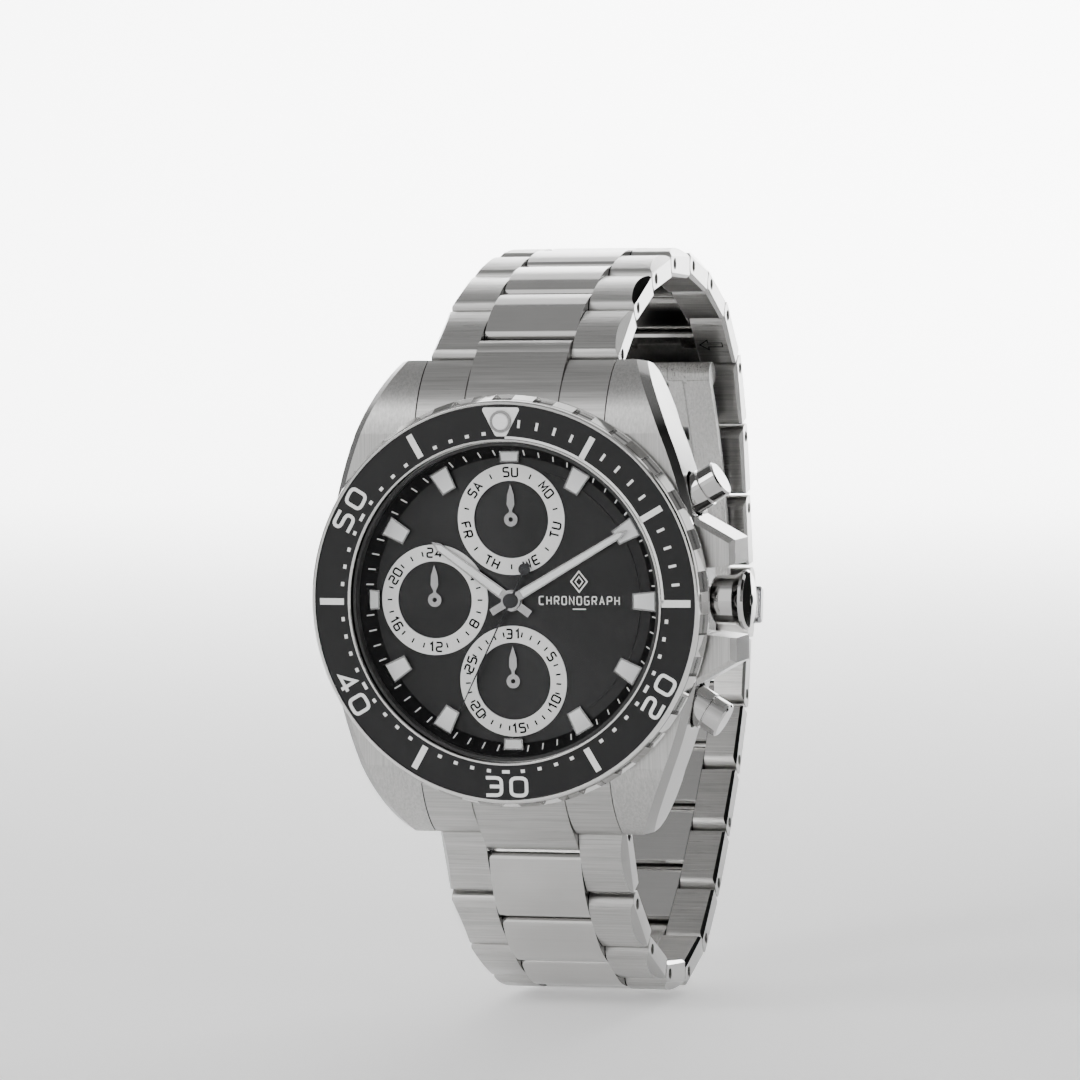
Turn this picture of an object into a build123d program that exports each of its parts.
from build123d import *
import math
import os

# Chronograph wristwatch on a steel link bracelet, millimetres.
# X runs to the crown, +Y runs from the dial to the wrist, +Z runs to twelve o'clock.
# The origin is the centre of the case back's outer face, and the dial faces -Y.

# ---------------------------------------------------------------- driving dimensions
# Case
CASE_BACK_Y = -1.6            # back plane of the case middle
CASE_FRONT_Y = -8.3           # front plane of the case middle, under the bezel
CASE_BORE_R = 16.2
NECK_R = 17.3                 # collar that carries the crystal and guides the bezel
NECK_Y = -10.0
FLANK_CENTRE_X = 26.2         # the sides are arcs of large radius
FLANK_R = 46.1
LUG_TIP_Z = 24.3
LUG_SLOT_HALF = 10.1          # half of the width between the lugs
LUG_SLOT_Z = 18.6
GUARD_X = 23.3
CONTROL_Y = -5.0              # depth of the crown and pusher axes

# Bezel, crystal and dial
BEZEL_R = 21.0
BEZEL_RIM_R = 20.45
BEZEL_Y = -11.1
BEZEL_FOOT_Y = -8.5
INSERT_R = 20.04
INSERT_BORE_R = 16.6
BEZEL_BORE_R = 16.3
NOTCHES = 30
CRYSTAL_R = 15.9
CRYSTAL_Y = -11.25
DIAL_Y = -7.85
DIAL_R = 15.9
SUBDIAL_OFFSET = 8.25
SUBDIAL_R = 5.66
SUBDIAL_INNER_R = 3.95

# Crown and pushers
CROWN_BODY_R = 2.5
CROWN_DISC_R = 3.05
CROWN_X = 20.6
CROWN_TIP_X = 24.4
PUSHER_ANGLE = 30.0
PUSHER_HEAD_R = 1.8
PUSHER_COLLAR_R = 2.05
PUSHER_TIP = 24.7

# Bracelet: each row is two outer links, a centre link and the pin of its near hinge
PITCH = 8.2
HINGE_ONE = (-0.8, 24.7)      # depth and height of the pivot in each end link
UPPER_ANGLES = [34, 20, 10, -3, -15, -26, -47, -70, -79, -83]
LOWER_ANGLES = [-66, -42, -26, -6, 18, 40, 47, 51, 58, 76]
LOCK_ANGLE = -98
CENTRE_HALF = 4.94
OUTER_INNER_X = 5.0
LUG_HALF_WIDTH = 10.0
CLASP_HALF_WIDTH = 8.5
PIN_R = 0.6
PIN_BORE_R = 0.66
EYE_R = 1.5

# Fold-over clasp
FOLD_HINGE = (45.0, 21.0)
BLADE_HALF = 7.2
BLADE_T = 0.9
EAR_PIN_R = 0.42
EAR_BORE_R = 0.66              # loose: the last pivot has play when the clasp is open

os.makedirs("parts", exist_ok=True)


def save(solid, name):
    """Label one finished piece and write its STEP file."""
    solid.label = name
    export_step(solid, "parts/" + name + ".step")


def dial_plane(y):
    """Plane facing the dial side, with x to the right and y up, at depth y."""
    return Plane(origin=(0, y, 0), x_dir=(1, 0, 0), z_dir=(0, -1, 0))


def radial_plane(turn, distance):
    """Plane across a pusher's axis at a distance from the dial axis."""
    direction = (math.cos(math.radians(turn)), 0, math.sin(math.radians(turn)))
    return Plane(origin=(0, CONTROL_Y, 0), x_dir=(0, 1, 0), z_dir=direction).offset(distance)


def ring_body(name, outer, inner, front, back):
    """Plain ring about the dial axis from depth front to depth back."""
    with BuildPart() as ring:
        with BuildSketch(dial_plane(back)):
            Circle(outer)
            if inner > 0:
                Circle(inner, mode=Mode.SUBTRACT)
        extrude(amount=back - front)
    save(ring.part, name)
    return ring.part


def turned(points):
    """Solid of revolution about the dial axis from (radius, depth) points."""
    with BuildPart() as body:
        with BuildSketch(Plane.XY):
            with BuildLine():
                Polyline(*points, close=True)
            make_face()
        revolve(axis=Axis.Y)
    return body.part


# ---------------------------------------------------------------- case middle
with BuildPart() as case_middle:
    with BuildSketch(dial_plane(0.0)):
        with Locations((-FLANK_CENTRE_X, 0)):
            Circle(FLANK_R)
        with Locations((FLANK_CENTRE_X, 0)):
            Circle(FLANK_R, mode=Mode.INTERSECT)
    extrude(amount=12)
    with BuildSketch(Plane.YZ.offset(-30)):
        with BuildLine():
            Polyline((CASE_FRONT_Y, -17.0), (CASE_FRONT_Y, 17.0))
            ThreePointArc((CASE_FRONT_Y, 17.0), (-6.5, 21.4), (-3.3, LUG_TIP_Z))
            Polyline((-3.3, LUG_TIP_Z), (-0.9, LUG_TIP_Z - 0.5), (-0.3, LUG_TIP_Z - 1.3))
            ThreePointArc((-0.3, LUG_TIP_Z - 1.3), (-0.75, 20.6), (CASE_BACK_Y, 18.4))
            Polyline((CASE_BACK_Y, 18.4), (CASE_BACK_Y, -18.4))
            ThreePointArc((CASE_BACK_Y, -18.4), (-0.75, -20.6), (-0.3, 1.3 - LUG_TIP_Z))
            Polyline((-0.3, 1.3 - LUG_TIP_Z), (-0.9, 0.5 - LUG_TIP_Z), (-3.3, -LUG_TIP_Z))
            ThreePointArc((-3.3, -LUG_TIP_Z), (-6.5, -21.4), (CASE_FRONT_Y, -17.0))
        make_face()
    extrude(amount=60, mode=Mode.INTERSECT)
    # polished bevel where the front of the case meets its flanks
    front_edges = case_middle.edges().filter_by(lambda e: abs(e.center().X) > 12 and e.center().Y < -4.6)
    chamfer(front_edges, length=0.75)
    back_edges = case_middle.edges().filter_by(
        lambda e: abs(e.center().X) > 12 and -2.0 < e.center().Y < -0.2)
    chamfer(back_edges.filter_by(lambda e: e.length > 8), length=0.4)
    # crown guards
    for side in (1, -1):
        with BuildSketch(dial_plane(-2.0)):
            with BuildLine():
                Polyline((16.0, side * 3.4), (20.6, side * 3.4), (GUARD_X, side * 3.7), (GUARD_X, side * 6.2),
                         (22.8, side * 6.5), (17.6, side * 9.4), (16.0, side * 9.0), close=True)
            make_face()
        extrude(amount=5.7)
    guard_edges = case_middle.edges().filter_by(
        lambda e: e.center().X > 22.9 and e.center().Y < -7.6)
    chamfer(guard_edges, length=0.55)
    # collar for the crystal, bore for dial and movement
    with BuildSketch(dial_plane(CASE_FRONT_Y + 0.5)):
        Circle(NECK_R)
    extrude(amount=CASE_FRONT_Y + 0.5 - NECK_Y)
    with BuildSketch(dial_plane(0.5)):
        Circle(CASE_BORE_R)
    extrude(amount=13, mode=Mode.SUBTRACT)
    # seats for the bracelet's end links between the lugs
    for side in (1, -1):
        with BuildSketch(dial_plane(0.5)):
            with BuildLine():
                Line((-LUG_SLOT_HALF, side * 15.62), (-LUG_SLOT_HALF, side * 26))
                Line((-LUG_SLOT_HALF, side * 26), (LUG_SLOT_HALF, side * 26))
                Line((LUG_SLOT_HALF, side * 26), (LUG_SLOT_HALF, side * 15.62))
                ThreePointArc((LUG_SLOT_HALF, side * 15.62), (0, side * LUG_SLOT_Z),
                              (-LUG_SLOT_HALF, side * 15.62))
            make_face()
        extrude(amount=13, mode=Mode.SUBTRACT)
        # spring bar holes in the lugs
        with BuildSketch(Plane.YZ.offset(-11.4)):
            with Locations((-3.0, side * 21.4)):
                Circle(0.5)
        extrude(amount=22.8, mode=Mode.SUBTRACT)
    # recess and bore for the crown, bores for the pushers
    with BuildSketch(Plane.YZ.offset(CROWN_X - 0.25)):
        with Locations((CONTROL_Y, 0)):
            Circle(3.3)
    extrude(amount=6, mode=Mode.SUBTRACT)
    with BuildSketch(Plane.YZ.offset(14)):
        with Locations((CONTROL_Y, 0)):
            Circle(1.3)
    extrude(amount=8, mode=Mode.SUBTRACT)
    for turn in (PUSHER_ANGLE, -PUSHER_ANGLE):
        with BuildSketch(radial_plane(turn, 14)):
            Circle(1.3)
        extrude(amount=10, mode=Mode.SUBTRACT)
        with BuildSketch(radial_plane(turn, 19.4)):
            Circle(2.3)
        extrude(amount=8, mode=Mode.SUBTRACT)
save(case_middle.part, "case_middle")

# ---------------------------------------------------------------- case back and gaskets
with BuildPart() as case_back:
    with BuildSketch(dial_plane(0.0)):
        Circle(17.4)
    extrude(amount=1.6)
    fillet(case_back.edges().sort_by(Axis.Y)[-1], radius=0.5)
    with BuildSketch(dial_plane(-1.5)):
        Circle(CASE_BORE_R - 0.02)
        Circle(15.0, mode=Mode.SUBTRACT)
    extrude(amount=1.3)
    # stepped ring on the outer face and a lift notch at the rim
    with BuildSketch(dial_plane(0.0)):
        Circle(13.6)
        Circle(13.2, mode=Mode.SUBTRACT)
    extrude(amount=0.15, mode=Mode.SUBTRACT)
    with BuildSketch(dial_plane(-1.6)):
        with PolarLocations(17.6, 1, start_angle=60):
            Rectangle(1.2, 4.0)
    extrude(amount=-0.7, mode=Mode.SUBTRACT)
    # groove for the back gasket
    with BuildSketch(dial_plane(-2.05)):
        Circle(CASE_BORE_R + 0.1)
        Circle(15.72, mode=Mode.SUBTRACT)
    extrude(amount=0.45, mode=Mode.SUBTRACT)
save(case_back.part, "case_back")
ring_body("case_back_gasket", CASE_BORE_R, 15.72, -2.5, -2.05)
ring_body("crystal_gasket", CASE_BORE_R, CRYSTAL_R, -10.6, -9.3)

# ---------------------------------------------------------------- crystal
with BuildPart() as crystal:
    with BuildSketch(dial_plane(-9.3)):
        Circle(CRYSTAL_R)
    extrude(amount=-9.3 - CRYSTAL_Y)
    chamfer(crystal.edges().sort_by(Axis.Y)[0], length=0.25)
save(crystal.part, "crystal")

# ---------------------------------------------------------------- rotating bezel
bezel_ring = turned([
    (NECK_R + 0.08, BEZEL_FOOT_Y), (BEZEL_R - 0.2, BEZEL_FOOT_Y), (BEZEL_R, BEZEL_FOOT_Y - 0.25),
    (BEZEL_R, -9.2), (BEZEL_RIM_R, BEZEL_Y + 0.15), (BEZEL_RIM_R - 0.15, BEZEL_Y),
    (INSERT_R + 0.06, BEZEL_Y), (INSERT_R + 0.06, -10.6), (INSERT_BORE_R - 0.04, -10.6),
    (INSERT_BORE_R - 0.04, BEZEL_Y - 0.1), (BEZEL_BORE_R + 0.08, BEZEL_Y - 0.1),
    (BEZEL_BORE_R, BEZEL_Y), (BEZEL_BORE_R, -10.08), (NECK_R + 0.08, -10.08)])
with BuildPart() as bezel:
    add(bezel_ring)
    # rectangular finger notches sunk into the sloping flank
    with BuildSketch(dial_plane(-8.95)):
        with PolarLocations(21.25, NOTCHES, start_angle=6):
            Rectangle(1.5, 2.1)
    extrude(amount=1.75, mode=Mode.SUBTRACT)
save(bezel.part, "bezel")

with BuildPart() as bezel_insert:
    add(turned([(INSERT_BORE_R, -10.6), (INSERT_R, -10.6), (INSERT_R, -10.98),
                (INSERT_BORE_R, -11.12)]))
    with BuildSketch(dial_plane(-10.9)):
        with Locations((0, 18.35)):
            Circle(0.86)
    extrude(amount=0.5, mode=Mode.SUBTRACT)
save(bezel_insert.part, "bezel_insert")

with BuildPart() as bezel_pip:
    with BuildSketch(dial_plane(-10.9)):
        with Locations((0, 18.35)):
            Circle(0.86)
    extrude(amount=0.45)
    fillet(bezel_pip.edges().sort_by(Axis.Y)[0], radius=0.2)
save(bezel_pip.part, "bezel_pip")

# flat click spring under the bezel
with BuildPart() as bezel_click_spring:
    with BuildSketch(dial_plane(CASE_FRONT_Y)):
        Circle(19.2)
        Circle(18.4, mode=Mode.SUBTRACT)
        with Locations((0, -18.8)):
            Rectangle(2.4, 3.0, mode=Mode.SUBTRACT)
        with Locations((0, 18.8)):
            Rectangle(22, 9, mode=Mode.SUBTRACT)
        with Locations((0, -18.8)):
            Rectangle(22, 9, mode=Mode.SUBTRACT)
    extrude(amount=0.15)
save(bezel_click_spring.part, "bezel_click_spring")

# ---------------------------------------------------------------- rehaut, dial and markers
SHORT_HOURS = (6, 9, 12)
centres = [(0, SUBDIAL_OFFSET), (-SUBDIAL_OFFSET, 0), (0, -SUBDIAL_OFFSET)]


def marker_points(hour, grow=0.0):
    """Corners of one trapezoid hour marker, wider at the rim of the dial."""
    inner_r = 14.08 if hour in SHORT_HOURS else 12.8
    inner_w = 0.97 if hour in SHORT_HOURS else 0.82
    outer_r = 15.25
    outer_w = 1.06
    angle = math.radians(90 - 30 * hour)
    ux, uz = math.cos(angle), math.sin(angle)
    corners = [(inner_r - grow, -inner_w - grow), (outer_r + grow, -outer_w - grow),
               (outer_r + grow, outer_w + grow), (inner_r - grow, inner_w + grow)]
    return [(r * ux - w * uz, r * uz + w * ux) for r, w in corners]


# sloping ring round the dial, notched for the ends of the hour markers
with BuildPart() as rehaut_ring:
    add(turned([(CASE_BORE_R - 0.02, -9.28), (15.85, -9.28), (14.6, DIAL_Y + 0.1),
                (CASE_BORE_R - 0.02, DIAL_Y + 0.1)]))
    for hour in range(1, 13):
        with BuildSketch(dial_plane(-7.0)):
            with BuildLine():
                Polyline(*marker_points(hour, 0.05), close=True)
            make_face()
        extrude(amount=3, mode=Mode.SUBTRACT)
save(rehaut_ring.part, "rehaut_ring")

with BuildPart() as dial:
    with BuildSketch(dial_plane(-7.35)):
        Circle(DIAL_R)
    extrude(amount=-7.35 - DIAL_Y - 0.1)
    # raised centre and counter pads above the outer track
    with BuildSketch(dial_plane(DIAL_Y + 0.1)):
        Circle(13.5)
        with Locations(*centres):
            Circle(SUBDIAL_R + 0.05)
    extrude(amount=0.1)
    # recessed counters and pipe holes
    with BuildSketch(dial_plane(DIAL_Y + 0.1)):
        with Locations(*centres):
            Circle(SUBDIAL_INNER_R)
    extrude(amount=0.2, mode=Mode.SUBTRACT)
    with BuildSketch(dial_plane(-7.0)):
        Circle(1.05)
        with Locations(*centres):
            Circle(0.36)
    extrude(amount=1.2, mode=Mode.SUBTRACT)
save(dial.part, "dial")

# applied hour markers: nine long ones, and short ones beside the three counters
with BuildPart() as hour_indices:
    for hour in range(1, 13):
        with BuildSketch(dial_plane(DIAL_Y + 0.1 if hour in SHORT_HOURS else DIAL_Y)):
            with BuildLine():
                Polyline(*marker_points(hour), close=True)
            make_face()
        extrude(amount=0.55 if hour in SHORT_HOURS else 0.45)
save(hour_indices.part, "hour_indices")

with BuildPart() as subdial_rings:
    with BuildSketch(dial_plane(DIAL_Y)):
        with Locations(*centres):
            Circle(SUBDIAL_R)
        with Locations(*centres):
            Circle(SUBDIAL_INNER_R, mode=Mode.SUBTRACT)
    extrude(amount=0.12)
save(subdial_rings.part, "subdial_rings")


def hand(name, angle, profile, pipe_r, bore_r, hub_r, y_front, y_back, pipe_back, centre=(0, 0)):
    """Flat hand with a hub and a pipe, pointing at a clock angle in degrees."""
    turn = math.radians(90 - angle)
    ux, uz = math.cos(turn), math.sin(turn)
    points = [(centre[0] + a * ux - b * uz, centre[1] + a * uz + b * ux) for a, b in profile]
    with BuildPart() as body:
        with BuildSketch(dial_plane(y_back)):
            with BuildLine():
                Polyline(*points, close=True)
            make_face()
            with Locations(centre):
                Circle(hub_r)
        extrude(amount=y_back - y_front)
        with BuildSketch(dial_plane(pipe_back)):
            with Locations(centre):
                Circle(pipe_r)
        extrude(amount=pipe_back - y_back)
        if bore_r > 0:
            with BuildSketch(dial_plane(pipe_back + 1)):
                with Locations(centre):
                    Circle(bore_r)
            extrude(amount=20, mode=Mode.SUBTRACT)
    save(body.part, name)
    return body.part


def baton(length, tail, half, tip_half):
    """Baton profile with a pointed tip and a short tail, as (along, across) points."""
    return [(-tail, -half * 0.75), (0, -half * 0.75), (1.4, -half), (length - 0.9, -tip_half),
            (length, 0), (length - 0.9, tip_half), (1.4, half), (0, half * 0.75), (-tail, half * 0.75)]


HOUR_ANGLE = 305.3
MINUTE_ANGLE = 59.8
SECONDS_ANGLE = 206.0
hand("hour_hand", HOUR_ANGLE, baton(10.3, 2.4, 0.55, 0.42), 0.9, 0.66, 1.1, -8.32, -8.14, -5.2)
hand("minute_hand", MINUTE_ANGLE, baton(14.4, 2.4, 0.5, 0.36), 0.6, 0.36, 1.0, -8.62, -8.46, -4.9)
seconds_profile = [(-4.4, -0.09), (12.6, -0.05), (12.6, 0.05), (-4.4, 0.09)]
with BuildPart() as seconds_hand:
    turn = math.radians(90 - SECONDS_ANGLE)
    ux, uz = math.cos(turn), math.sin(turn)
    with BuildSketch(dial_plane(-8.76)):
        with BuildLine():
            Polyline(*[(a * ux - b * uz, a * uz + b * ux) for a, b in seconds_profile], close=True)
        make_face()
        Circle(0.75)
        with Locations((-3.6 * ux, -3.6 * uz)):
            Circle(0.62)
    extrude(amount=0.12)
    with BuildSketch(dial_plane(-4.6)):
        Circle(0.3)
    extrude(amount=4.16)
save(seconds_hand.part, "seconds_hand")

leaf = [(0, -0.16), (1.0, -0.16), (1.5, -0.42), (2.5, -0.36), (3.6, 0), (2.5, 0.36), (1.5, 0.42),
        (1.0, 0.16), (0, 0.16)]
for name, centre in (("weekday_hand", centres[0]), ("hour24_hand", centres[1]), ("date_hand", centres[2])):
    hand(name, 0, leaf, 0.3, 0, 0.72, -8.06, -7.92, -5.4, centre)

# ---------------------------------------------------------------- movement
with BuildPart() as movement_holder:
    with BuildSketch(dial_plane(-3.3)):
        Circle(CASE_BORE_R - 0.1)
        Circle(15.0, mode=Mode.SUBTRACT)
    extrude(amount=3.98)
    with BuildSketch(Plane.YZ.offset(13)):
        with Locations((CONTROL_Y, 0)):
            Circle(1.4)
    extrude(amount=5, mode=Mode.SUBTRACT)
    for turn in (PUSHER_ANGLE, -PUSHER_ANGLE):
        with BuildSketch(radial_plane(turn, 13)):
            Circle(1.4)
        extrude(amount=5, mode=Mode.SUBTRACT)
save(movement_holder.part, "movement_holder")

with BuildPart() as main_plate:
    with BuildSketch(dial_plane(-5.9)):
        Circle(14.95)
        Circle(0.95, mode=Mode.SUBTRACT)
        with Locations(*centres):
            Circle(0.33, mode=Mode.SUBTRACT)
    extrude(amount=1.4)
    with BuildSketch(dial_plane(-3.3)):
        with PolarLocations(12.6, 3, start_angle=80):
            Circle(0.9)
    extrude(amount=2.6)
    # channel for the winding stem
    with BuildSketch(dial_plane(-5.8)):
        with Locations((12, 0)):
            Rectangle(7.0, 3.0)
    extrude(amount=0.5, mode=Mode.SUBTRACT)
save(main_plate.part, "main_plate")

with BuildPart() as train_bridge:
    with BuildSketch(dial_plane(-2.7)):
        Circle(14.6)
        with Locations((0, -12)):
            Rectangle(32, 20, mode=Mode.SUBTRACT)
        with Locations((0, 0)):
            Circle(1.2, mode=Mode.SUBTRACT)
        with Locations((12, 0)):
            Rectangle(8, 8, mode=Mode.SUBTRACT)
    extrude(amount=0.6)
save(train_bridge.part, "train_bridge")

with BuildPart() as battery:
    with BuildSketch(dial_plane(-3.0)):
        with Locations((-4.5, -8.0)):
            Circle(4.75)
    extrude(amount=2.1)
    fillet(battery.edges().sort_by(Axis.Y)[-1], radius=0.3)
save(battery.part, "battery")

with BuildPart() as drive_coil:
    with BuildSketch(Plane.YZ.offset(-11.0)):
        with Locations((-4.4, 7.5)):
            Circle(1.1)
    extrude(amount=8.0)
    for x in (-11.8, -3.2):
        with BuildSketch(Plane.YZ.offset(x)):
            with Locations((-4.45, 7.5)):
                Rectangle(2.1, 2.6)
        extrude(amount=0.9)
save(drive_coil.part, "drive_coil")

with BuildPart() as circuit_board:
    with BuildSketch(dial_plane(-5.6)):
        Circle(12.0)
        Circle(1.6, mode=Mode.SUBTRACT)
        with Locations((10, 0)):
            Rectangle(12, 11, mode=Mode.SUBTRACT)
        with Locations(*centres):
            Circle(0.6, mode=Mode.SUBTRACT)
        with PolarLocations(12.6, 3, start_angle=80):
            Circle(1.2, mode=Mode.SUBTRACT)
    extrude(amount=0.25)
save(circuit_board.part, "circuit_board")

# ---------------------------------------------------------------- crown and its stem
with BuildPart() as crown_stem:
    with BuildSketch(Plane.YZ.offset(9.6)):
        with Locations((CONTROL_Y, 0)):
            Circle(0.45)
    extrude(amount=12.0)
    with BuildSketch(Plane.YZ.offset(9.6)):
        with Locations((CONTROL_Y, 0)):
            Circle(0.75)
    extrude(amount=1.0)
save(crown_stem.part, "crown_stem")

with BuildPart() as crown:
    with BuildSketch(Plane.XY):
        with BuildLine():
            Polyline((CROWN_X, CONTROL_Y - 0.45), (CROWN_X, CONTROL_Y - CROWN_BODY_R + 0.25),
                     (CROWN_X + 0.25, CONTROL_Y - CROWN_BODY_R), (22.9, CONTROL_Y - CROWN_BODY_R - 0.05),
                     (23.5, CONTROL_Y - CROWN_DISC_R + 0.1), (23.65, CONTROL_Y - CROWN_DISC_R),
                     (23.95, CONTROL_Y - CROWN_DISC_R), (24.15, CONTROL_Y - CROWN_DISC_R + 0.25),
                     (24.3, CONTROL_Y - 1.5), (CROWN_TIP_X, CONTROL_Y - 0.45), close=True)
        make_face()
    revolve(axis=Axis(origin=(0, CONTROL_Y, 0), direction=(1, 0, 0)))
    # centre plug, and the pocket that covers the tube
    with BuildSketch(Plane.YZ.offset(21.6)):
        with Locations((CONTROL_Y, 0)):
            Circle(0.6)
    extrude(amount=CROWN_TIP_X - 21.6)
    with BuildSketch(Plane.YZ.offset(CROWN_X - 0.1)):
        with Locations((CONTROL_Y, 0)):
            Circle(1.4)
    extrude(amount=1.1, mode=Mode.SUBTRACT)
save(crown.part, "crown")

with BuildPart() as crown_tube:
    with BuildSketch(Plane.YZ.offset(16.2)):
        with Locations((CONTROL_Y, 0)):
            Circle(1.3)
            Circle(0.52, mode=Mode.SUBTRACT)
    extrude(amount=5.0)
save(crown_tube.part, "crown_tube")

with BuildPart() as setting_lever:
    with BuildSketch(dial_plane(CONTROL_Y + 0.35)):
        with Locations((9.85, 0)):
            Rectangle(2.4, 2.6)
    extrude(amount=0.7)
    with BuildSketch(dial_plane(CONTROL_Y + 0.35)):
        with Locations((8.0, 1.8)):
            Rectangle(1.6, 5.0)
    extrude(amount=0.7)
    with BuildSketch(Plane.YZ.offset(9.5)):
        with Locations((CONTROL_Y, 0)):
            Circle(0.85)
    extrude(amount=1.2, mode=Mode.SUBTRACT)
    with BuildSketch(Plane.YZ.offset(9.5)):
        with Locations((CONTROL_Y, 0)):
            Circle(0.52)
    extrude(amount=4, mode=Mode.SUBTRACT)
save(setting_lever.part, "setting_lever")


# ---------------------------------------------------------------- chronograph pushers
def pusher(name, turn):
    """Stem with its inner stop, hollow cap, groove and head along one radial axis."""
    with BuildPart() as body:
        with BuildSketch(radial_plane(turn, 20.5)):
            Circle(PUSHER_COLLAR_R - 0.05)
        extrude(amount=2.25)
        with BuildSketch(radial_plane(turn, 22.7)):
            Circle(PUSHER_HEAD_R - 0.1)
        extrude(amount=0.3)
        with BuildSketch(radial_plane(turn, 22.92)):
            Circle(PUSHER_HEAD_R + 0.06)
        extrude(amount=PUSHER_TIP - 22.92)
        with BuildSketch(radial_plane(turn, 20.4)):
            Circle(1.4)
        extrude(amount=1.6, mode=Mode.SUBTRACT)
        with BuildSketch(radial_plane(turn, 15.6)):
            Circle(0.5)
        extrude(amount=6.6)
        with BuildSketch(radial_plane(turn, 15.6)):
            Circle(0.9)
        extrude(amount=0.35)
        rims = body.edges().filter_by(GeomType.CIRCLE).sort_by(lambda e: e.center().length)
        chamfer(rims[-1], length=0.18)
    save(body.part, name)


pusher("pusher_start", PUSHER_ANGLE)
pusher("pusher_reset", -PUSHER_ANGLE)

with BuildPart() as pusher_tubes:
    for turn in (PUSHER_ANGLE, -PUSHER_ANGLE):
        with BuildSketch(radial_plane(turn, 17.2)):
            Circle(1.3)
            Circle(0.56, mode=Mode.SUBTRACT)
        extrude(amount=3.8)
save(pusher_tubes.part, "pusher_tubes")


# ---------------------------------------------------------------- bracelet end links
def end_link(name, side):
    """Solid end link between the lugs, with the eye for the first row's pin."""
    hy, hz = HINGE_ONE
    with BuildPart() as body:
        # full-width part that follows the lugs
        with BuildSketch(Plane.YZ.offset(-LUG_HALF_WIDTH)):
            with BuildLine():
                Polyline((-0.7, side * 19.2), (-8.25, side * 16.0), (CASE_FRONT_Y + 0.02, side * 17.0))
                ThreePointArc((CASE_FRONT_Y + 0.02, side * 17.0), (-6.48, side * 21.4), (-3.3, side * 24.28))
                Polyline((-3.3, side * 24.28), (-2.6, side * 23.3))
                ThreePointArc((-2.6, side * 23.3), (-1.9, side * 22.75), (-1.0, side * 22.7))
                Polyline((-1.0, side * 22.7), (-0.7, side * 21.5), (-0.7, side * 19.2))
            make_face()
        extrude(amount=2 * LUG_HALF_WIDTH)
        # concave inner end against the case
        with BuildSketch(dial_plane(0.5)):
            Circle(LUG_SLOT_Z + 0.06)
        extrude(amount=12, mode=Mode.SUBTRACT)
        # centre piece that reaches out to the first pivot
        with BuildSketch(Plane.YZ.offset(-CENTRE_HALF)):
            with BuildLine():
                Polyline((-1.2, side * 20.5), (-6.9, side * 20.4))
                ThreePointArc((-6.9, side * 20.4), (-5.35, side * 22.9), (-3.0, side * 25.1))
                ThreePointArc((-3.0, side * 25.1), (-0.9, side * (hz + EYE_R + 0.02)), (0.62, side * 25.0))
                Polyline((0.62, side * 25.0), (0.5, side * 23.6), (-0.9, side * 22.4), (-1.2, side * 20.5))
            make_face()
        extrude(amount=2 * CENTRE_HALF)
        with BuildSketch(Plane.YZ.offset(-12)):
            with Locations((hy, side * hz)):
                Circle(PIN_BORE_R)
            with Locations((-3.0, side * 21.4)):
                Circle(0.8)
        extrude(amount=24, mode=Mode.SUBTRACT)
        # fine grooves that set off the centre piece
        for left in (-OUTER_INNER_X - 0.06, OUTER_INNER_X - 0.06):
            with BuildSketch(Plane.YZ.offset(left)):
                with BuildLine():
                    ThreePointArc((-8.05, side * 16.6), (-6.28, side * 21.25), (-3.1, side * 24.1))
                    Line((-3.1, side * 24.1), (-3.6, side * 24.9))
                    ThreePointArc((-3.6, side * 24.9), (-6.9, side * 21.8), (-8.9, side * 17.2))
                    Line((-8.9, side * 17.2), (-8.05, side * 16.6))
                make_face()
            extrude(amount=0.12, mode=Mode.SUBTRACT)
        # clearance round the first row's outer links
        for left in (OUTER_INNER_X - 0.01, -11):
            with BuildSketch(Plane.YZ.offset(left)):
                with Locations((hy, side * hz)):
                    Circle(1.75)
            extrude(amount=6, mode=Mode.SUBTRACT)
    save(body.part, name)


end_link("end_link_top", 1)
end_link("end_link_bottom", -1)

with BuildPart() as spring_bars:
    for side in (1, -1):
        with BuildSketch(Plane.YZ.offset(-9.8)):
            with Locations((-3.0, side * 21.4)):
                Circle(0.8)
        extrude(amount=19.6)
        with BuildSketch(Plane.YZ.offset(-11.2)):
            with Locations((-3.0, side * 21.4)):
                Circle(0.48)
        extrude(amount=22.4)
save(spring_bars.part, "spring_bars")


# ---------------------------------------------------------------- bracelet rows
def hinge_points(start, angles):
    """Pivot positions (depth, height) along a chain of rows."""
    points = [start]
    for angle in angles:
        y, z = points[-1]
        points.append((y + PITCH * math.cos(math.radians(angle)), z + PITCH * math.sin(math.radians(angle))))
    return points


def row_plane(point, angle, side):
    """Plane across the row: x along the chain, y outward from the wrist."""
    turn = math.radians(angle)
    return Plane(origin=(0, point[0], point[1]), x_dir=(0, math.cos(turn), math.sin(turn)),
                 z_dir=(side, 0, 0))


def half_width(row, last=9):
    """Half width of the bracelet at a row's near end, tapering towards the clasp."""
    return LUG_HALF_WIDTH + (CLASP_HALF_WIDTH - LUG_HALF_WIDTH) * min(row, last) / last


def outer_profile(end):
    """Side view of an outer link: round at its pivot, flat at the far end."""
    with BuildLine() as profile:
        Line((0, -1.35), (end - 0.3, -1.35))
        Line((end - 0.3, -1.35), (end, -1.05))
        Line((end, -1.05), (end, 1.0))
        Line((end, 1.0), (end - 0.25, 1.25))
        ThreePointArc((end - 0.25, 1.25), (2.7, 1.78), (-0.75, 1.3))
        ThreePointArc((-0.75, 1.3), (-1.5, 0.0), (0, -1.35))
    return profile.line


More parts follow.
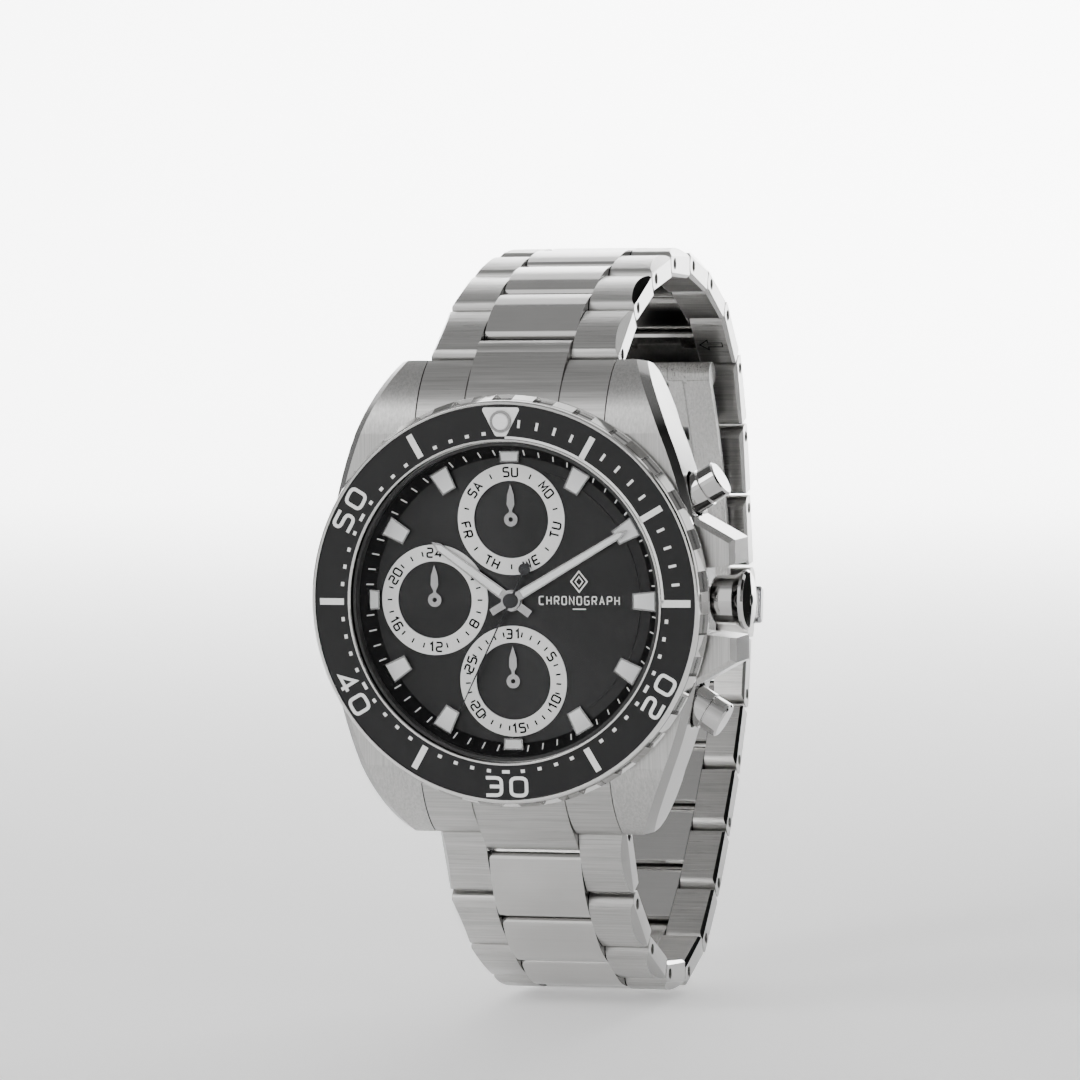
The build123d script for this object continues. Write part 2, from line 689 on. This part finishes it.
def link_row(name, point, angle, side, near_half, far_half, eye=True, foot_pin=False):
    """One rigid row of the bracelet with the pin of its near hinge."""
    plane = row_plane(point, angle, side)
    end = PITCH - 1.95
    with BuildPart() as row:
        for hand_side in (1, -1):
            with BuildSketch(plane.offset(hand_side * OUTER_INNER_X)):
                with BuildLine():
                    add(outer_profile(end))
                make_face()
            extrude(amount=hand_side * (near_half - OUTER_INNER_X))
        # taper of the outer links in plan, and their leaf-shaped outer bevels
        across = Plane(origin=plane.origin, x_dir=(1, 0, 0), z_dir=plane.y_dir)
        sign = 1 if across.y_dir.dot(plane.x_dir) > 0 else -1
        for hand_side in (1, -1):
            near = hand_side * (near_half + 0.03)
            far = hand_side * (far_half + 0.03)
            with BuildSketch(across.offset(-3)):
                with BuildLine():
                    Polyline((near, sign * -2.2), (hand_side * 12, sign * -2.2), (hand_side * 12, sign * 9),
                             (far, sign * 9), close=True)
                make_face()
            extrude(amount=6, mode=Mode.SUBTRACT)
            edge = (near_half + far_half) / 2
            section = Plane(origin=plane.origin - plane.x_dir * 3, x_dir=(1, 0, 0), z_dir=plane.x_dir)
            flip = 1 if section.y_dir.dot(plane.y_dir) > 0 else -1
            with BuildSketch(section):
                with BuildLine():
                    Polyline((hand_side * (edge - 0.62), flip * 1.8), (hand_side * (edge + 2), flip * 1.8),
                             (hand_side * (edge + 2), flip * -1.0),
                             (hand_side * edge, flip * 0.9), close=True)
                make_face()
                with BuildLine():
                    Polyline((hand_side * (edge - 0.35), flip * -1.4),
                             (hand_side * (edge + 1), flip * -1.4),
                             (hand_side * (edge + 1), flip * -0.1),
                             (hand_side * edge, flip * -1.05), close=True)
                make_face()
            extrude(amount=12, mode=Mode.SUBTRACT)
        # centre link, reaching past the outer links to the next pivot
        if eye:
            with BuildSketch(plane.offset(-CENTRE_HALF)):
                with BuildLine():
                    Line((2.0, -1.3), (PITCH, -1.3))
                    ThreePointArc((PITCH, -1.3), (PITCH + EYE_R, 0.1), (PITCH + 0.35, 1.4))
                    ThreePointArc((PITCH + 0.35, 1.4), (5.3, 1.92), (2.2, 1.5))
                    ThreePointArc((2.2, 1.5), (1.8, 1.15), (1.72, 0.6))
                    Polyline((1.72, 0.6), (1.75, -1.05), (2.0, -1.3))
                make_face()
            extrude(amount=2 * CENTRE_HALF)
        else:
            with BuildSketch(plane.offset(-CENTRE_HALF)):
                with BuildLine():
                    Polyline((2.0, -1.0), (3.3, -1.0), (3.3, 0.9), (end, 1.15), (end, 1.3))
                    ThreePointArc((end, 1.3), (4.2, 1.72), (2.2, 1.5))
                    ThreePointArc((2.2, 1.5), (1.8, 1.15), (1.72, 0.6))
                    Polyline((1.72, 0.6), (1.75, -0.8), (2.0, -1.0))
                make_face()
            extrude(amount=2 * CENTRE_HALF)
        with BuildSketch(plane.offset(-OUTER_INNER_X - 0.3)):
            with BuildLine():
                Polyline((2.3, -0.8), (3.2, -0.8), (3.2, 1.1), (2.3, 1.1), close=True)
            make_face()
        extrude(amount=2 * OUTER_INNER_X + 0.6)
        # pin ends sit just below the side faces
        with BuildSketch(plane.offset(-12)):
            Circle(PIN_R)
        extrude(amount=24, mode=Mode.SUBTRACT)
        if eye:
            with BuildSketch(plane.offset(-12)):
                with Locations((PITCH, 0)):
                    Circle(PIN_BORE_R)
            extrude(amount=24, mode=Mode.SUBTRACT)
        with BuildSketch(plane.offset(0.3 - far_half)):
            Circle(PIN_R)
        extrude(amount=2 * far_half - 0.6)
        if foot_pin:
            with BuildSketch(plane.offset(-OUTER_INNER_X - 1)):
                with Locations((4.95, -0.3)):
                    Circle(PIN_R)
            extrude(amount=2 * OUTER_INNER_X + 2)
    save(row.part, name)


upper_pivots = hinge_points(HINGE_ONE, UPPER_ANGLES)
lower_pivots = hinge_points((HINGE_ONE[0], -HINGE_ONE[1]), LOWER_ANGLES)
for row in range(10):
    near = half_width(row)
    far = half_width(row + 1)
    number = str(row + 1).zfill(2)
    link_row("link_upper_" + number, upper_pivots[row], UPPER_ANGLES[row], 1, near, far)
    link_row("link_lower_" + number, lower_pivots[row], LOWER_ANGLES[row], -1, near, far,
             eye=row < 9, foot_pin=row == 9)

# ---------------------------------------------------------------- fold-over clasp
lock_point = upper_pivots[-1]
lock_plane = row_plane(lock_point, LOCK_ANGLE, 1)
lock_end = PITCH - 1.95
HALF = CLASP_HALF_WIDTH
with BuildPart() as lock_link:
    for hand_side in (1, -1):
        with BuildSketch(lock_plane.offset(hand_side * OUTER_INNER_X)):
            with BuildLine():
                add(outer_profile(lock_end))
            make_face()
        extrude(amount=hand_side * (HALF - OUTER_INNER_X))
    with BuildSketch(lock_plane.offset(-CENTRE_HALF)):
        with BuildLine():
            Polyline((1.8, -0.4), (1.75, 1.0), (2.0, 1.5))
            ThreePointArc((2.0, 1.5), (3.9, 1.85), (lock_end, 1.3))
            Polyline((lock_end, 1.3), (lock_end, 0.2), (3.0, -0.4), (1.8, -0.4))
        make_face()
    extrude(amount=2 * CENTRE_HALF)
    with BuildSketch(lock_plane.offset(-OUTER_INNER_X - 0.3)):
        with BuildLine():
            Polyline((2.3, -0.3), (3.2, -0.3), (3.2, 1.1), (2.3, 1.1), close=True)
        make_face()
    extrude(amount=2 * OUTER_INNER_X + 0.6)
    # ears that take the outer blade's pin
    for left in (-6.2, OUTER_INNER_X):
        with BuildSketch(lock_plane.offset(left)):
            with BuildLine():
                Polyline((1.6, -1.2), (2.1, -2.85), (3.7, -2.85), (4.4, -1.2), close=True)
            make_face()
        extrude(amount=1.2)
    # channel for the push buttons
    for left in (-HALF - 0.1, OUTER_INNER_X + 1.3):
        with BuildSketch(lock_plane.offset(left)):
            with Locations((2.7, 0.05)):
                RectangleRounded(4.3, 1.7, 0.7)
        extrude(amount=HALF + 0.1 - OUTER_INNER_X - 1.3, mode=Mode.SUBTRACT)
    with BuildSketch(lock_plane.offset(-12)):
        Circle(PIN_R)
        with Locations((2.9, -1.9)):
            Circle(EAR_BORE_R)
    extrude(amount=24, mode=Mode.SUBTRACT)
    with BuildSketch(lock_plane.offset(0.3 - HALF)):
        Circle(PIN_R)
    extrude(amount=2 * HALF - 0.6)
save(lock_link.part, "lock_link")

for name, hand_side in (("lock_button_right", 1), ("lock_button_left", -1)):
    with BuildPart() as button:
        with BuildSketch(lock_plane.offset(hand_side * (OUTER_INNER_X + 2.3))):
            with Locations((2.7, 0.05)):
                RectangleRounded(4.18, 1.58, 0.64)
        extrude(amount=hand_side * (HALF + 1.2 - OUTER_INNER_X - 2.3))
        fillet(button.faces().sort_by(Axis.X)[-1 if hand_side > 0 else 0].edges(), radius=0.3)
    save(button.part, name)


def lock_point_at(along, out):
    """Point (depth, height) given in the lock link's own side view."""
    p = lock_plane.origin + lock_plane.x_dir * along + lock_plane.y_dir * out
    return (p.Y, p.Z)


OUTER_FOOT = lock_point_at(2.9, -1.9)
lower_end_plane = row_plane(lower_pivots[9], LOWER_ANGLES[9], -1)
foot = lower_end_plane.origin + lower_end_plane.x_dir * 4.95 - lower_end_plane.y_dir * 0.3
INNER_FOOT = (foot.Y, foot.Z)


def blade_profile(start, finish, bulge, shift=0.0):
    """Side view of a curved blade: an arc of constant thickness, moved by shift towards the wrist."""
    (y0, z0), (y1, z1) = start, finish
    length = math.hypot(y1 - y0, z1 - z0)
    ny, nz = -(z1 - z0) / length, (y1 - y0) / length
    y0, z0, y1, z1 = y0 + ny * shift, z0 + nz * shift, y1 + ny * shift, z1 + nz * shift
    my, mz = (y0 + y1) / 2 + ny * bulge, (z0 + z1) / 2 + nz * bulge
    h = BLADE_T / 2
    a0 = (y0 + ny * h, z0 + nz * h)
    a1 = (y1 + ny * h, z1 + nz * h)
    b0 = (y0 - ny * h, z0 - nz * h)
    b1 = (y1 - ny * h, z1 - nz * h)
    with BuildLine() as profile:
        ThreePointArc(a0, (my + ny * h, mz + nz * h), a1)
        Line(a1, b1)
        ThreePointArc(b1, (my - ny * h, mz - nz * h), b0)
        Line(b0, a0)
    return profile.line


# outer blade: from the fold hinge down to the lock link
FY, FZ = FOLD_HINGE
with BuildPart() as fold_blade_outer:
    with BuildSketch(Plane.YZ.offset(0.6 - BLADE_HALF)):
        with BuildLine():
            add(blade_profile((OUTER_FOOT[0] + 0.1, OUTER_FOOT[1] + 0.6), (FY + 0.95, FZ + 0.2), -1.9))
        make_face()
    extrude(amount=2 * BLADE_HALF - 1.2)
    with BuildSketch(Plane.YZ.offset(-12)):
        with Locations((FY, FZ)):
            Circle(1.75)
    extrude(amount=9.5, mode=Mode.SUBTRACT)
    with BuildSketch(Plane.YZ.offset(2.5)):
        with Locations((FY, FZ)):
            Circle(1.75)
    extrude(amount=9.5, mode=Mode.SUBTRACT)
    with BuildSketch(Plane.YZ.offset(-2.45)):
        with Locations((FY, FZ)):
            Circle(1.3)
    extrude(amount=4.9)
    # foot narrows to fit between the lock link's ears
    for left in (-9, 4.9):
        with BuildSketch(Plane.YZ.offset(left)):
            with Locations(OUTER_FOOT):
                Rectangle(6, 9)
        extrude(amount=4.1, mode=Mode.SUBTRACT)
    with BuildSketch(Plane.YZ.offset(-4.9)):
        with Locations(OUTER_FOOT):
            Circle(0.85)
    extrude(amount=9.8)
    with BuildSketch(Plane.YZ.offset(-12)):
        with Locations((FY, FZ)):
            Circle(PIN_BORE_R)
    extrude(amount=24, mode=Mode.SUBTRACT)
    with BuildSketch(Plane.YZ.offset(-6.0)):
        with Locations(OUTER_FOOT):
            Circle(EAR_PIN_R)
    extrude(amount=12)
save(fold_blade_outer.part, "fold_blade_outer")

# inner blade: from the fold hinge down to the last lower row
with BuildPart() as fold_blade_inner:
    with BuildSketch(Plane.YZ.offset(-BLADE_HALF)):
        with BuildLine():
            add(blade_profile((51.6, -6.6), (FY - 0.75, FZ - 0.6), -1.9))
        make_face()
    extrude(amount=2 * BLADE_HALF)
    with BuildSketch(Plane.YZ.offset(-CENTRE_HALF + 0.1)):
        with BuildLine():
            Polyline((51.15, -6.45), (52.05, -6.75), (INNER_FOOT[0] + 0.75, INNER_FOOT[1] + 0.5),
                     (INNER_FOOT[0] - 0.2, INNER_FOOT[1] - 0.9), close=True)
        make_face()
    extrude(amount=2 * CENTRE_HALF - 0.2)
    with BuildSketch(Plane.YZ.offset(-CENTRE_HALF + 0.1)):
        with Locations(INNER_FOOT):
            Circle(1.0)
    extrude(amount=2 * CENTRE_HALF - 0.2)
    with BuildSketch(Plane.YZ.offset(-12)):
        with Locations(INNER_FOOT):
            Circle(PIN_BORE_R)
    extrude(amount=24, mode=Mode.SUBTRACT)
    # slot window, and the long shallow channels on the wrist side
    with BuildSketch(Plane.XY.offset(13.6)):
        with Locations((0, 46)):
            Rectangle(8.0, 12)
    extrude(amount=1.5, mode=Mode.SUBTRACT)
    for left in (-4.6, 4.1):
        with BuildSketch(Plane.YZ.offset(left)):
            with BuildLine():
                add(blade_profile((51.6, -6.6), (FY - 0.75, FZ - 0.6), -1.9, BLADE_T - 0.22))
            make_face()
        extrude(amount=0.5, mode=Mode.SUBTRACT)
    # knuckles and the fold pin
    with BuildSketch(Plane.YZ.offset(-2.5)):
        with Locations((FY, FZ)):
            Circle(1.6)
    extrude(amount=5.0, mode=Mode.SUBTRACT)
    for left in (-BLADE_HALF, 2.5):
        with BuildSketch(Plane.YZ.offset(left)):
            with Locations((FY, FZ)):
                Circle(1.3)
        extrude(amount=BLADE_HALF - 2.5)
    with BuildSketch(Plane.YZ.offset(0.2 - BLADE_HALF)):
        with Locations((FY, FZ)):
            Circle(PIN_R)
    extrude(amount=2 * BLADE_HALF - 0.4)
save(fold_blade_inner.part, "fold_blade_inner")
